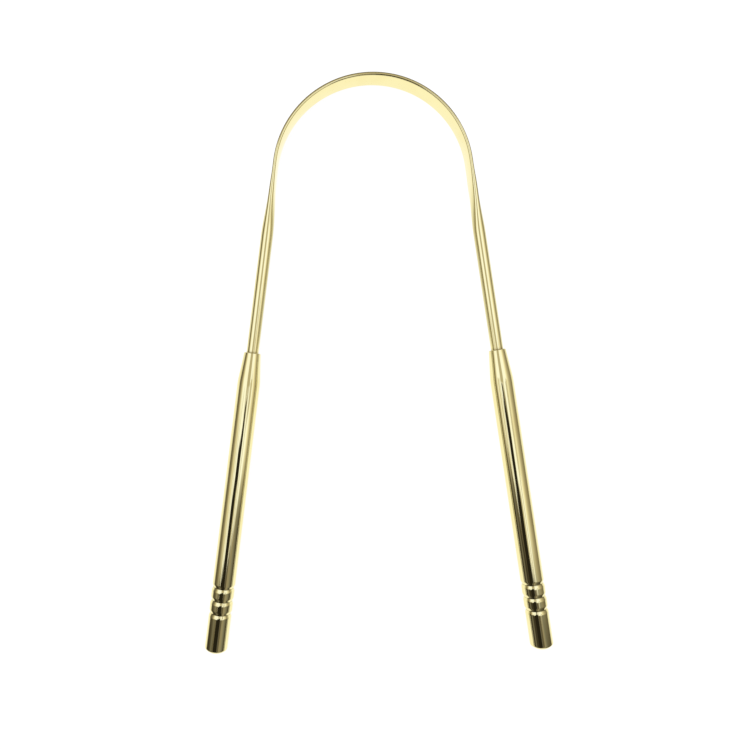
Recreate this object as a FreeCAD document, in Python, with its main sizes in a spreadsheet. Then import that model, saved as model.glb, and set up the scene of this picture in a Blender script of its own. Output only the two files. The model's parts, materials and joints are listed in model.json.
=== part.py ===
import FreeCAD, Part
import math
import os
import Sketcher
from FreeCAD import Placement, Rotation, Vector

# Tongue scraper: one wire bent to a hairpin, pressed flat on edge round the arch, and two
# turned handles on its legs. It lies flat with +Z up, the arch toward +Y, symmetric about X = 0.

doc = FreeCAD.newDocument("tongue_scraper")

# Driving sizes, in millimetres and degrees
SIZES = {
    "wire_diameter": 3.2,
    "blade_thickness": 1.1,
    "blade_width": 6.0,
    "blade_face_angle": 4.0,
    "round_face_angle": 45.0,
    "arch_radius": 25.9,
    "splay_angle": 7.83,
    "flat_run": 4.6,
    "flare_run": 15.2,
    "round_run": 30.9,
    "tail_length": 11.0,
    "tail_chamfer": 0.4,
    "handle_diameter": 6.0,
    "handle_wall": 0.8,
    "tube_length": 62.6,
    "nose_length": 7.9,
    "nose_wall": 0.58,
    "shoulder_round": 21.7,
    "nose_bore_length": 8.0,
    "drill_point_angle": 118.0,
    "wire_clearance": 0.02,
    "mouth_round": 0.3,
    "plug_length": 17.75,
    "spigot_length": 8.0,
    "spigot_clearance": 0.02,
    "spigot_chamfer": 0.4,
    "groove_width": 1.65,
    "groove_floor": 0.2,
    "groove_depth": 0.27,
    "groove_pitch": 3.43,
    "groove_overrun": 0.5,
    "dome_height": 1.4,
    "rim_round": 0.7,
}
GROOVE_COUNT = 3
FLARE_STEPS = 4

sheet = doc.addObject("Spreadsheet::Sheet", "Sizes")
for row, (alias, amount) in enumerate(SIZES.items(), start=1):
    sheet.set(f"A{row}", alias)
    sheet.set(f"B{row}", str(amount))
    sheet.setAlias(f"B{row}", alias)
doc.recompute()


def size(alias):
    """Expression that names one cell of the sheet."""
    return f"Sizes.{alias}"


def number(expression):
    """Present value of an expression."""
    return float(sheet.evalExpression(expression))


# Lengths that follow from the driving sizes, as expressions
WIRE_R = f"({size('wire_diameter')} / 2)"
HALF_THICK = f"({size('blade_thickness')} / 2)"
HALF_WIDTH = f"({size('blade_width')} / 2)"
HANDLE_R = f"({size('handle_diameter')} / 2)"
TUBE_BORE_R = f"({HANDLE_R} - {size('handle_wall')})"
NOSE_BORE_R = f"({WIRE_R} + {size('wire_clearance')})"
MOUTH_R = f"({NOSE_BORE_R} + {size('nose_wall')})"
NOSE_DROP = f"({HANDLE_R} - {MOUTH_R})"
NOSE_ANGLE = f"atan({NOSE_DROP} / {size('nose_length')})"
SHOULDER_RUN = f"({size('shoulder_round')} * tan({NOSE_ANGLE} / 2))"
POINT_RUN = f"(({TUBE_BORE_R} - {NOSE_BORE_R}) / tan({size('drill_point_angle')} / 2))"
SPIGOT_R = f"({TUBE_BORE_R} - {size('spigot_clearance')})"
GROOVE_HALF = f"({size('groove_width')} / 2)"
GROOVE_FLOOR_HALF = f"({size('groove_floor')} / 2)"
DOME_R = f"(({HANDLE_R}^2 + {size('dome_height')}^2) / (2 * {size('dome_height')}))"
SIN = f"sin({size('splay_angle')})"
COS = f"cos({size('splay_angle')})"
LEG_RUN = f"({size('flat_run')} + {size('flare_run')} + {size('round_run')})"
SIDE_RUN = f"({LEG_RUN} + {size('tube_length')} + {size('plug_length')})"

# Where the arch centre lies, so that the box round the whole part is centred and stands on Z = 0
TOP_REACH = f"({size('arch_radius')} + {HALF_THICK})"
END_REACH = f"(({SIDE_RUN} - {DOME_R}) * {COS} + {DOME_R} - {size('arch_radius')} * {SIN})"
ARCH_Y = f"(({END_REACH} - {TOP_REACH}) / 2)"
MID_Z = f"(max({size('handle_diameter')}; {size('blade_width')}) / 2)"


def leg_x(run):
    """X of a point on the right leg, at this distance past the end of the arch."""
    return f"({size('arch_radius')} * {COS} + {run} * {SIN})"


def leg_y(run):
    """Y of the same point, from the arch centre."""
    return f"({size('arch_radius')} * {SIN} - {run} * {COS})"


def new_body(label):
    body = doc.addObject("PartDesign::Body", label)
    body.Label = label
    return body


def origin_feature(body, role):
    return next(item for item in body.Origin.OriginFeatures if item.Role == role)


def new_sketch(body, name, plane):
    sketch = body.newObject("Sketcher::SketchObject", name)
    sketch.AttachmentSupport = [(origin_feature(body, plane), "")]
    sketch.MapMode = "FlatFace"
    return sketch


def bind(sketch, constraint, expression):
    """Add one dimension to a sketch and bind it to an expression."""
    index = sketch.addConstraint(constraint)
    sketch.setExpression(f"Constraints[{index}]", expression)


def place_point(sketch, geometry, end, across, up):
    """Dimension one end of a line or arc from the sketch's origin."""
    if across == "0":
        sketch.addConstraint(Sketcher.Constraint("PointOnObject", geometry, end, -2))
    else:
        bind(sketch, Sketcher.Constraint("DistanceX", -1, 1, geometry, end, number(across)), across)
    if up == "0":
        sketch.addConstraint(Sketcher.Constraint("PointOnObject", geometry, end, -1))
    else:
        bind(sketch, Sketcher.Constraint("DistanceY", -1, 1, geometry, end, number(up)), up)


def arc_between(first, last, radius, left):
    """Arc of this radius from first to last; its centre lies left of the way, or right of it."""
    way = last - first
    half = way.Length / 2
    side = Vector(-way.y, way.x, 0) / way.Length
    rise = math.sqrt(max(radius * radius - half * half, 0.0))
    centre = (first + last) / 2 + side * (rise if left else -rise)
    begin, end = (first, last) if left else (last, first)
    circle = Part.Circle(centre, Vector(0, 0, 1), radius)
    start_angle = math.atan2(begin.y - centre.y, begin.x - centre.x)
    end_angle = math.atan2(end.y - centre.y, end.x - centre.x)
    if end_angle < start_angle:
        end_angle += 2 * math.pi
    return Part.ArcOfCircle(circle, start_angle, end_angle)


def outline(sketch, corners, arcs):
    """Closed outline through corners given as expressions, each dimensioned from the origin.

    arcs names the sides that are arcs: side number to (radius expression, centre on the left).
    """
    points = [Vector(number(across), number(up), 0) for across, up in corners]
    firsts = []
    lasts = []
    for side, first in enumerate(points):
        last = points[(side + 1) % len(points)]
        if side in arcs:
            radius, left = arcs[side]
            sketch.addGeometry(arc_between(first, last, number(radius), left), False)
            firsts.append(1 if left else 2)
            lasts.append(2 if left else 1)
        else:
            sketch.addGeometry(Part.LineSegment(first, last), False)
            firsts.append(1)
            lasts.append(2)
    for side in range(len(points)):
        following = (side + 1) % len(points)
        joint = Sketcher.Constraint("Coincident", side, lasts[side], following, firsts[following])
        sketch.addConstraint(joint)
    for side, (across, up) in enumerate(corners):
        place_point(sketch, side, firsts[side], across, up)
    for side, (radius, left) in arcs.items():
        bind(sketch, Sketcher.Constraint("Radius", side, number(radius)), radius)


def turn(body, name, sketch):
    """Turn a half outline a full round about the body's own Z."""
    feature = body.newObject("PartDesign::Revolution", name)
    feature.Profile = sketch
    feature.ReferenceAxis = (sketch, ["V_Axis"])
    feature.Angle = 360
    doc.recompute()
    return feature


def turn_away(body, name, sketch, base):
    """Cut a half outline a full round out of the base, and see that it did cut."""
    feature = body.newObject("PartDesign::Groove", name)
    feature.Profile = sketch
    feature.ReferenceAxis = (sketch, ["V_Axis"])
    feature.Angle = 360
    doc.recompute()
    if not feature.Shape.Volume < base.Shape.Volume:
        raise RuntimeError(f"{name} cut nothing")
    return feature


def rim_edge(feature, radius, height):
    """Name of the circular edge of a turned feature that lies nearest this radius and Z."""
    rims = []
    for index, edge in enumerate(feature.Shape.Edges, start=1):
        if edge.Degenerated or not isinstance(edge.Curve, Part.Circle):
            continue
        miss = math.hypot(edge.Curve.Radius - radius, edge.Curve.Center.z - height)
        rims.append((miss, f"Edge{index}"))
    return [min(rims)[1]]


def dress(body, kind, name, base, edges, prop, expression):
    """Fillet or chamfer on named edges, its size bound to an expression."""
    feature = body.newObject(kind, name)
    feature.Base = (base, edges)
    feature.setExpression(prop, expression)
    doc.recompute()
    return feature


# The wire

def oval_sizes(half_thick, half_width, face_angle):
    """Four-arc oval whose arcs meet smoothly: corner, face radius and edge radius as expressions.

    Each face arc spans face_angle to either side of the middle. A small angle gives a nearly
    flat face between round edges, and equal half sizes give a circle.
    """
    spread = (
        f"(({half_width} - {half_thick})"
        f" / (sin({face_angle}) + cos({face_angle}) - 1))"
    )
    edge_r = f"({half_width} - {spread} * sin({face_angle}))"
    face_r = f"({half_thick} + {spread} * cos({face_angle}))"
    corner_x = f"({edge_r} * cos({face_angle}))"
    corner_y = f"({half_width} - {edge_r} + {edge_r} * sin({face_angle}))"
    return corner_x, corner_y, face_r, edge_r


def draw_oval(sketch, half_thick, half_width, face_angle):
    """Oval centred on the sketch's origin: faces left and right, edges at top and bottom."""
    corner_x, corner_y, face_r, edge_r = oval_sizes(half_thick, half_width, face_angle)
    across = number(corner_x)
    up = number(corner_y)
    lower_right = Vector(across, -up, 0)
    upper_right = Vector(across, up, 0)
    upper_left = Vector(-across, up, 0)
    lower_left = Vector(-across, -up, 0)
    sketch.addGeometry(arc_between(lower_right, upper_right, number(face_r), True), False)
    sketch.addGeometry(arc_between(upper_right, upper_left, number(edge_r), True), False)
    sketch.addGeometry(arc_between(upper_left, lower_left, number(face_r), True), False)
    sketch.addGeometry(arc_between(lower_left, lower_right, number(edge_r), True), False)
    for side in range(4):
        sketch.addConstraint(Sketcher.Constraint("Coincident", side, 2, (side + 1) % 4, 1))
    sketch.addConstraint(Sketcher.Constraint("Symmetric", 0, 1, 0, 2, -1))
    sketch.addConstraint(Sketcher.Constraint("Symmetric", 0, 2, 1, 2, -2))
    sketch.addConstraint(Sketcher.Constraint("Symmetric", 2, 2, 3, 2, -2))
    sketch.addConstraint(Sketcher.Constraint("Equal", 0, 2))
    sketch.addConstraint(Sketcher.Constraint("Equal", 1, 3))
    bind(sketch, Sketcher.Constraint("DistanceX", -1, 1, 0, 2, across), corner_x)
    bind(sketch, Sketcher.Constraint("DistanceY", -1, 1, 0, 2, up), corner_y)
    bind(sketch, Sketcher.Constraint("Radius", 0, number(face_r)), face_r)
    bind(sketch, Sketcher.Constraint("Radius", 1, number(edge_r)), edge_r)


def leg_sketch(body, name, run):
    """Sketch square to the right leg, its centre on the leg and its normal down the leg."""
    sketch = new_sketch(body, name, "XZ_Plane")
    base = Vector(number(leg_x(run)), 0, -number(leg_y(run)))
    turned = Rotation(Vector(0, 1, 0), number(size("splay_angle")))
    sketch.AttachmentOffset = Placement(base, turned)
    sketch.setExpression("AttachmentOffset.Base.x", leg_x(run))
    sketch.setExpression("AttachmentOffset.Base.z", f"-{leg_y(run)}")
    sketch.setExpression("AttachmentOffset.Rotation.Angle", size("splay_angle"))
    return sketch


def blend(flat, full, share):
    """Expression part way from the flat size to the full one."""
    return f"({flat} * {1 - share:.6f} + {full} * {share:.6f})"


wire = new_body("scraper_wire")

blade_path = new_sketch(wire, "blade_path", "XY_Plane")
splay = math.radians(SIZES["splay_angle"])
arch = Part.Circle(Vector(0, 0, 0), Vector(0, 0, 1), SIZES["arch_radius"])
foot = Vector(number(leg_x("0")), number(leg_y("0")), 0)
flat_end = Vector(number(leg_x(size("flat_run"))), number(leg_y(size("flat_run"))), 0)
blade_path.addGeometry(Part.ArcOfCircle(arch, splay, math.pi / 2), False)
blade_path.addGeometry(Part.LineSegment(foot, flat_end), False)
blade_path.addConstraint(Sketcher.Constraint("Coincident", 0, 3, -1, 1))
blade_path.addConstraint(Sketcher.Constraint("PointOnObject", 0, 2, -2))
blade_path.addConstraint(Sketcher.Constraint("Tangent", 0, 1, 1, 1))
bind(blade_path, Sketcher.Constraint("Radius", 0, SIZES["arch_radius"]), size("arch_radius"))
bind(blade_path, Sketcher.Constraint("Distance", 1, SIZES["flat_run"]), size("flat_run"))
drop = number(leg_x("0"))
bind(blade_path, Sketcher.Constraint("DistanceX", -1, 1, 0, 1, drop), leg_x("0"))

blade_section = new_sketch(wire, "blade_section", "YZ_Plane")
blade_section.AttachmentOffset = Placement(Vector(SIZES["arch_radius"], 0, 0), Rotation())
blade_section.setExpression("AttachmentOffset.Base.x", size("arch_radius"))
draw_oval(blade_section, HALF_THICK, HALF_WIDTH, size("blade_face_angle"))
doc.recompute()

blade = wire.newObject("PartDesign::AdditivePipe", "blade")
blade.Profile = blade_section
blade.Spine = blade_path
blade.Mode = "Standard"
doc.recompute()

flare_sections = []
for step in range(FLARE_STEPS + 1):
    way = step / FLARE_STEPS
    share = way * way * (3 - 2 * way)
    run = f"({size('flat_run')} + {size('flare_run')} * {way:.6f})"
    section = leg_sketch(wire, f"flare_section_{step}", run)
    half_thick = blend(HALF_THICK, WIRE_R, share)
    half_width = blend(HALF_WIDTH, WIRE_R, share)
    face_angle = blend(size("blade_face_angle"), size("round_face_angle"), share)
    draw_oval(section, half_thick, half_width, face_angle)
    flare_sections.append(section)
doc.recompute()

flare = wire.newObject("PartDesign::AdditiveLoft", "flare")
flare.Profile = flare_sections[0]
flare.Sections = flare_sections[1:]
flare.Ruled = False
doc.recompute()

leg_section = leg_sketch(wire, "leg_section", f"({size('flat_run')} + {size('flare_run')})")
leg_section.addGeometry(Part.Circle(Vector(0, 0, 0), Vector(0, 0, 1), number(WIRE_R)), False)
leg_section.addConstraint(Sketcher.Constraint("Coincident", 0, 3, -1, 1))
bind(leg_section, Sketcher.Constraint("Radius", 0, number(WIRE_R)), WIRE_R)
doc.recompute()

leg = wire.newObject("PartDesign::Pad", "leg")
leg.Profile = leg_section
leg.setExpression("Length", f"{size('round_run')} + {size('tail_length')}")
doc.recompute()

both_sides = wire.newObject("PartDesign::Mirrored", "both_sides")
both_sides.Originals = [blade, flare, leg]
both_sides.MirrorPlane = (origin_feature(wire, "YZ_Plane"), [""])
wire.Tip = both_sides
doc.recompute()

# The two tail ends are the circular edges that lie furthest down the legs
circles = []
for index, edge in enumerate(both_sides.Shape.Edges, start=1):
    if isinstance(edge.Curve, Part.Circle):
        circles.append((edge.Curve.Center.y, f"Edge{index}"))
tail_edges = [name for height, name in sorted(circles)[:2]]
dress(wire, "PartDesign::Chamfer", "tail_chamfers", both_sides, tail_edges, "Size", size("tail_chamfer"))

wire.setExpression("Placement.Base.y", ARCH_Y)
wire.setExpression("Placement.Base.z", MID_Z)


# The handles

def groove_outline(sketch, height):
    """Shallow V groove with a narrow floor in the handle's outside, centred at this height."""
    floor_r = f"({HANDLE_R} - {size('groove_depth')})"
    clear_r = f"({HANDLE_R} + {size('groove_overrun')})"
    bottom = f"({height} - {GROOVE_HALF})"
    top = f"({height} + {GROOVE_HALF})"
    corners = [
        (HANDLE_R, bottom),
        (clear_r, bottom),
        (clear_r, top),
        (HANDLE_R, top),
        (floor_r, f"({height} + {GROOVE_FLOOR_HALF})"),
        (floor_r, f"({height} - {GROOVE_FLOOR_HALF})"),
    ]
    outline(sketch, corners, {})


def stand_on_leg(body, side, run):
    """Put a turned piece on a leg: its Z runs down the leg, its zero lies at this run."""
    yaw = f"{side} * {size('splay_angle')}"
    body.Placement = Placement(Vector(), Rotation(number(yaw), 0, 90))
    body.setExpression("Placement.Base.x", f"{side} * {leg_x(run)}")
    body.setExpression("Placement.Base.y", f"{ARCH_Y} + {leg_y(run)}")
    body.setExpression("Placement.Base.z", MID_Z)


def make_tube(label, side):
    """Handle tube: cone nose bored for the wire, hollow behind, half a groove at its end."""
    body = new_body(label)
    profile = new_sketch(body, f"{label}_profile", "XZ_Plane")
    point_top = f"({size('nose_bore_length')} + {POINT_RUN})"
    cone_top_r = f"({HANDLE_R} - {SHOULDER_RUN} * sin({NOSE_ANGLE}))"
    cone_top = f"({size('nose_length')} - {SHOULDER_RUN} * cos({NOSE_ANGLE}))"
    corners = [
        (NOSE_BORE_R, "0"),
        (MOUTH_R, "0"),
        (cone_top_r, cone_top),
        (HANDLE_R, f"({size('nose_length')} + {SHOULDER_RUN})"),
        (HANDLE_R, size("tube_length")),
        (TUBE_BORE_R, size("tube_length")),
        (TUBE_BORE_R, point_top),
        (NOSE_BORE_R, size("nose_bore_length")),
    ]
    outline(profile, corners, {2: (size("shoulder_round"), True)})
    doc.recompute()
    turned = turn(body, f"{label}_turned", profile)
    seam = new_sketch(body, f"{label}_seam", "XZ_Plane")
    groove_outline(seam, size("tube_length"))
    doc.recompute()
    cut = turn_away(body, f"{label}_seam_groove", seam, turned)
    mouth = rim_edge(cut, number(MOUTH_R), 0)
    dress(body, "PartDesign::Fillet", f"{label}_mouth", cut, mouth, "Radius", size("mouth_round"))
    stand_on_leg(body, side, LEG_RUN)
    return body


def make_plug(label, side):
    """End plug: spigot into the tube, barrel with grooves, low dome. Zero is the seam."""
    body = new_body(label)
    profile = new_sketch(body, f"{label}_profile", "XZ_Plane")
    corners = [
        ("0", f"-{size('spigot_length')}"),
        (SPIGOT_R, f"-{size('spigot_length')}"),
        (SPIGOT_R, "0"),
        (HANDLE_R, "0"),
        (HANDLE_R, f"({size('plug_length')} - {size('dome_height')})"),
        ("0", size("plug_length")),
    ]
    outline(profile, corners, {4: (DOME_R, True)})
    doc.recompute()
    turned = turn(body, f"{label}_turned", profile)
    seam = new_sketch(body, f"{label}_seam", "XZ_Plane")
    groove_outline(seam, "0")
    doc.recompute()
    cut = turn_away(body, f"{label}_seam_groove", seam, turned)
    grooves = body.newObject("PartDesign::LinearPattern", f"{label}_grooves")
    grooves.Originals = [cut]
    grooves.Direction = (origin_feature(body, "Z_Axis"), [""])
    grooves.Occurrences = GROOVE_COUNT
    grooves.setExpression("Length", f"{size('groove_pitch')} * {GROOVE_COUNT - 1}")
    body.Tip = grooves
    doc.recompute()
    if not grooves.Shape.Volume < cut.Shape.Volume:
        raise RuntimeError(f"{label}: the grooves were not repeated")
    rim = rim_edge(grooves, number(HANDLE_R), number(f"{size('plug_length')} - {size('dome_height')}"))
    rounded = dress(body, "PartDesign::Fillet", f"{label}_rim", grooves, rim, "Radius", size("rim_round"))
    lead = rim_edge(rounded, number(SPIGOT_R), number(f"-{size('spigot_length')}"))
    dress(body, "PartDesign::Chamfer", f"{label}_lead_in", rounded, lead, "Size", size("spigot_chamfer"))
    stand_on_leg(body, side, f"({LEG_RUN} + {size('tube_length')})")
    return body


pieces = [
    wire,
    make_tube("left_handle_tube", -1),
    make_tube("right_handle_tube", 1),
    make_plug("left_end_plug", -1),
    make_plug("right_end_plug", 1),
]
doc.recompute()

for item in doc.Objects:
    if "Invalid" in item.State or "Error" in item.State:
        raise RuntimeError(f"{item.Label} did not recompute: {item.State}")

os.makedirs("parts", exist_ok=True)
for piece in pieces:
    shape = piece.Shape
    if shape.isNull() or not shape.isValid() or len(shape.Solids) != 1:
        raise RuntimeError(f"{piece.Label} is not one valid solid")
    shape.exportStep(os.path.join("parts", f"{piece.Label}.step"))
    box = shape.optimalBoundingBox()
    corner = f"{box.XMin:.3f} {box.YMin:.3f} {box.ZMin:.3f} to {box.XMax:.3f} {box.YMax:.3f} {box.ZMax:.3f}"
    print(piece.Label, f"{shape.Volume:.3f} mm3", corner)
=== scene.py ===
# %% [markdown]
# # A polished brass tongue scraper
#
# The real thing is one round brass wire, bent to a hairpin. Round the arch the wire is pressed flat and
# stands on edge, and that edge scrapes the tongue. Each leg ends in a turned handle: a hollow bar with a
# pointed nose, closed by a grooved plug.
#
# The CAD model holds the sizes and the places, so it is loaded first and never moved. Its faces are
# small flat triangles, and a mirror finish would show every one of them. So this lesson makes each of
# the five pieces again, with a finer and smoother skin that fills the same space.

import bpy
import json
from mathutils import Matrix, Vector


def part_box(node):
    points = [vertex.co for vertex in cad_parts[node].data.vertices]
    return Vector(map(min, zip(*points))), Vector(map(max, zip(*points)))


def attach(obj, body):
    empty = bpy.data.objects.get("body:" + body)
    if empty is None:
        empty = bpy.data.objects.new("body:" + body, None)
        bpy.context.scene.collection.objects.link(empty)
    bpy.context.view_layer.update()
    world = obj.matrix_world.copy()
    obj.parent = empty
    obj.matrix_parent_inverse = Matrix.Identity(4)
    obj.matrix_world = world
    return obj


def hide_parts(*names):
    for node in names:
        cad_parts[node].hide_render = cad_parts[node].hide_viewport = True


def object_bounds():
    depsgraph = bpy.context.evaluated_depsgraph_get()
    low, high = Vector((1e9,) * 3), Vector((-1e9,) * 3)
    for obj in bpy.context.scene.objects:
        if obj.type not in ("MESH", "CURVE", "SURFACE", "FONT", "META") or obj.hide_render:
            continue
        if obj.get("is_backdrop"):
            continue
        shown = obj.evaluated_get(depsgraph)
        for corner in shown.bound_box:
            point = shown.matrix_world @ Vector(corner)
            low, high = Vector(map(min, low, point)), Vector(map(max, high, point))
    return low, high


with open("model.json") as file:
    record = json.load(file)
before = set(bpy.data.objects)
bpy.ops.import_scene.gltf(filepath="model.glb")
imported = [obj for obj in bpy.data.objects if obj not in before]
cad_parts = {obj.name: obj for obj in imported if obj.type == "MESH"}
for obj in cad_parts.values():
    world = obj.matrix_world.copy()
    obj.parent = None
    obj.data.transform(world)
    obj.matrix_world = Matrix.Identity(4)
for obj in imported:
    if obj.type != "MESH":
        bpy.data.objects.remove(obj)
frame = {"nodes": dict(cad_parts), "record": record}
cad_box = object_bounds()
for node in sorted(frame["nodes"]):
    low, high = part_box(node)
    print(node, "is", [round(1000 * side, 2) for side in high - low], "mm")

# %% [markdown]
# ## Sums that turn into nodes
#
# Nodes work out both the shapes and the finishes below. Adding and linking them one by one takes many
# lines, so this small class wraps one socket of a tree. A sum on it adds Math nodes, and `1 - mask` can
# be written the way it is read. Every other kind of node comes from the one method `node`.

# %% Terms of a node tree
import math

import bpy


class Term:
    """One socket of a node tree, which can stand in a sum."""

    def __init__(self, tree, socket=None):
        self.tree = tree
        self.socket = socket

    def node(self, kind, settings=None, inputs=None, out=0):
        """Add a node: its settings first, then a value or a link for each socket named."""
        made = self.tree.nodes.new(kind)
        for name, value in (settings or {}).items():
            setattr(made, name, value)
        for name, value in (inputs or {}).items():
            if isinstance(value, Term):
                self.tree.links.new(value.socket, made.inputs[name])
            else:
                made.inputs[name].default_value = value
        return Term(self.tree, made.outputs[out])

    def also(self, out):
        """Another output of the node that this term comes from."""
        return Term(self.tree, self.socket.node.outputs[out])

    def math(self, operation, *values):
        return self.node("ShaderNodeMath", {"operation": operation}, dict(enumerate(values)))

    def __add__(self, other):
        return self.math("ADD", self, other)

    def __radd__(self, other):
        return self.math("ADD", other, self)

    def __sub__(self, other):
        return self.math("SUBTRACT", self, other)

    def __rsub__(self, other):
        return self.math("SUBTRACT", other, self)

    def __mul__(self, other):
        return self.math("MULTIPLY", self, other)

    def __rmul__(self, other):
        return self.math("MULTIPLY", other, self)

    def __truediv__(self, other):
        return self.math("DIVIDE", self, other)


def toward(first, last, share):
    """The value part of the way from the first to the last."""
    return first + (last - first) * share


def eased(value, low, high):
    """0 below low, 1 above high, and a soft step between."""
    limits = {"Value": value, "From Min": low, "From Max": high}
    return value.node("ShaderNodeMapRange", {"interpolation_type": "SMOOTHSTEP"}, limits)


print("sums on a Term:", sorted(name for name in vars(Term) if name.startswith("__r")))

# %% [markdown]
# ## The brass
#
# The whole scraper is bright yellow brass, buffed to a mirror. A mirror has hardly a colour of its own to
# see: it tints what it reflects. What tells it from a computer's perfect metal is small. The tint is
# uneven, fine hairlines run the way the piece was drawn or turned, the skin is a little wavy where the
# mop pressed, and the grooves that no mop reaches stay dull. Painted shade darkens the groove floors and
# the mouths of the handles.
#
# A bare Metallic colour would lack all that. So one function builds the finish from the piece's own map,
# which runs along the piece and round it, and from one value stored on the mesh. It marks the groove
# floors, the handle mouths and the hidden faces, where the finish is rougher and darkened by painted shade.

# %% One finish for three pieces
MM = 0.001
CLEAN_BRASS = (0.93, 0.84, 0.43, 1.0)
WARM_BRASS = (0.90, 0.78, 0.36, 1.0)
# The dark brown below is painted shade for the groove floors and the handle mouths.
RECESS_SHADE = (0.30, 0.22, 0.09, 1.0)
WARM_SHARE = 0.55
RECESS_SHADE_SHARE = 0.7
CLOUDS_PER_METRE = (160.0, 160.0, 160.0)
CLOUD_EDGES = (0.35, 0.75)
MIRROR_ROUGHNESS = 0.02
CLOUD_ROUGHNESS = 0.025
HAIR_ROUGHNESS = 0.02
SHELTER_ROUGHNESS = 0.16
WAVE_HEIGHT = 0.012 * MM
HAIR_HEIGHT = 0.0006 * MM


def start_material(name):
    """New material, and a first term in its tree."""
    material = bpy.data.materials.new(name)
    material.use_nodes = True
    return material, Term(material.node_tree)


def mix_colours(share, first, last):
    """Blend of two colours. The Mix node has its colour sockets at 6 and 7, and its blend at 2."""
    sockets = {0: share, 6: first, 7: last}
    return share.node("ShaderNodeMix", {"data_type": "RGBA"}, sockets, out=2)


def map_noise(start, place, per_metre, detail):
    """Cloudy pattern whose size along, round and across is given as cells to the metre."""
    scaled = start.node("ShaderNodeMapping", None, {"Vector": place, "Scale": per_metre})
    return start.node("ShaderNodeTexNoise", None, {"Vector": scaled, "Scale": 1.0, "Detail": detail})


def brass_finish(name, hairs_per_metre, waves_per_metre):
    """Mirror brass whose hairlines and waves have the size and direction given."""
    material, start = start_material(name)
    shader = material.node_tree.nodes["Principled BSDF"]
    along_round = start.node("ShaderNodeUVMap", {"uv_map": "along_round"})
    shade_and_dullness = start.node("ShaderNodeAttribute", {"attribute_name": "shade_and_dullness"}, out="Fac")
    hairs = map_noise(start, along_round, hairs_per_metre, detail=3.0)
    waves = map_noise(start, along_round, waves_per_metre, detail=1.0)
    place = start.node("ShaderNodeTexCoord", out="Object")
    clouds = eased(map_noise(start, place, CLOUDS_PER_METRE, detail=4.0), *CLOUD_EDGES)
    tint = mix_colours(clouds * WARM_SHARE, CLEAN_BRASS, WARM_BRASS)
    # Painted shade: the marked places are darkened toward the dark brown.
    shaded_tint = mix_colours(shade_and_dullness * RECESS_SHADE_SHARE, tint, RECESS_SHADE)
    buffed = MIRROR_ROUGHNESS + clouds * CLOUD_ROUGHNESS + hairs * HAIR_ROUGHNESS
    rough = buffed + shade_and_dullness * SHELTER_ROUGHNESS
    broad = {"Strength": 1.0, "Distance": WAVE_HEIGHT, "Height": waves}
    wavy = start.node("ShaderNodeBump", None, broad)
    fine = {"Strength": 1.0, "Distance": HAIR_HEIGHT, "Height": hairs, "Normal": wavy}
    skin = start.node("ShaderNodeBump", None, fine)
    shader.inputs["Metallic"].default_value = 1.0
    for socket, term in (("Base Color", shaded_tint), ("Roughness", rough), ("Normal", skin)):
        material.node_tree.links.new(term.socket, shader.inputs[socket])
    print(name, "has", len(material.node_tree.nodes), "nodes")
    return material


# %% Brass drawn through a die, and brass turned on a lathe
HAIRS_ALONG = (60.0, 9000.0, 1.0)
HAIRS_ROUND = (9000.0, 200.0, 1.0)
WIRE_WAVES = (90.0, 500.0, 1.0)
HANDLE_WAVES = (130.0, 450.0, 1.0)
PLUG_WAVES = (250.0, 450.0, 1.0)

drawn_brass = brass_finish("drawn_brass", HAIRS_ALONG, WIRE_WAVES)
turned_brass = brass_finish("turned_brass", HAIRS_ROUND, HANDLE_WAVES)
plug_brass = brass_finish("plug_brass", HAIRS_ROUND, PLUG_WAVES)

# %% [markdown]
# ## Running a tree
#
# Geometry Nodes suit this object, because every piece follows a rule: a section carried along a path, or
# an outline turned about an axis. Each tree gets named inputs for its sizes, and its result is kept as a
# plain mesh. The mesh sits at the origin with its place in its points, as the CAD nodes do.
#
# A rolled-up sheet has a doubled seam, and it may be inside out. So the points that meet are merged and
# the faces are turned outward before anything else is done with it.

# %% Start a tree, and keep what it makes
import bmesh

SEAM = 0.001 * MM
SHARP_ANGLE = math.radians(32)
SOCKETS = {"size": "NodeSocketFloat", "count": "NodeSocketInt"}
SOCKETS.update({"place": "NodeSocketVector", "finish": "NodeSocketMaterial"})


def start_tree(name, sizes):
    """New tree with these named inputs, and the inputs as terms."""
    tree = bpy.data.node_groups.new(name, "GeometryNodeTree")
    tree.interface.new_socket("Geometry", in_out="OUTPUT", socket_type="NodeSocketGeometry")
    tree.interface.new_socket("Geometry", in_out="INPUT", socket_type="NodeSocketGeometry")
    for label, kind in sizes.items():
        tree.interface.new_socket(label, in_out="INPUT", socket_type=SOCKETS[kind])
    entry = tree.nodes.new("NodeGroupInput")
    return tree, {socket.name: Term(tree, socket) for socket in entry.outputs if socket.name}


def end_tree(shape, finish):
    """Last nodes of every tree: real faces, with their finish."""
    real = shape.node("GeometryNodeRealizeInstances", None, {"Geometry": shape})
    dressed = shape.node("GeometryNodeSetMaterial", None, {"Geometry": real, "Material": finish})
    exit_node = shape.tree.nodes.new("NodeGroupOutput")
    shape.tree.links.new(dressed.socket, exit_node.inputs["Geometry"])


def store(shape, name, data_type, domain, value):
    """Keep a value on the mesh under a name, for the finish to read."""
    settings = {"data_type": data_type, "domain": domain}
    return shape.node(
        "GeometryNodeStoreNamedAttribute", settings, {"Geometry": shape, "Name": name, "Value": value}
    )


def close_up(mesh):
    """Merge the points that meet, turn the faces outward, and measure the solid."""
    work = bmesh.new()
    work.from_mesh(mesh)
    bmesh.ops.remove_doubles(work, verts=work.verts, dist=SEAM)
    bmesh.ops.dissolve_degenerate(work, edges=work.edges, dist=SEAM)
    bmesh.ops.recalc_face_normals(work, faces=work.faces)
    open_edges = sum(not edge.is_manifold for edge in work.edges)
    volume = work.calc_volume(signed=True) / MM**3
    print(len(work.faces), "faces,", open_edges, "open edges,", round(volume, 1), "cubic mm")
    work.to_mesh(mesh)
    work.free()


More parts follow.
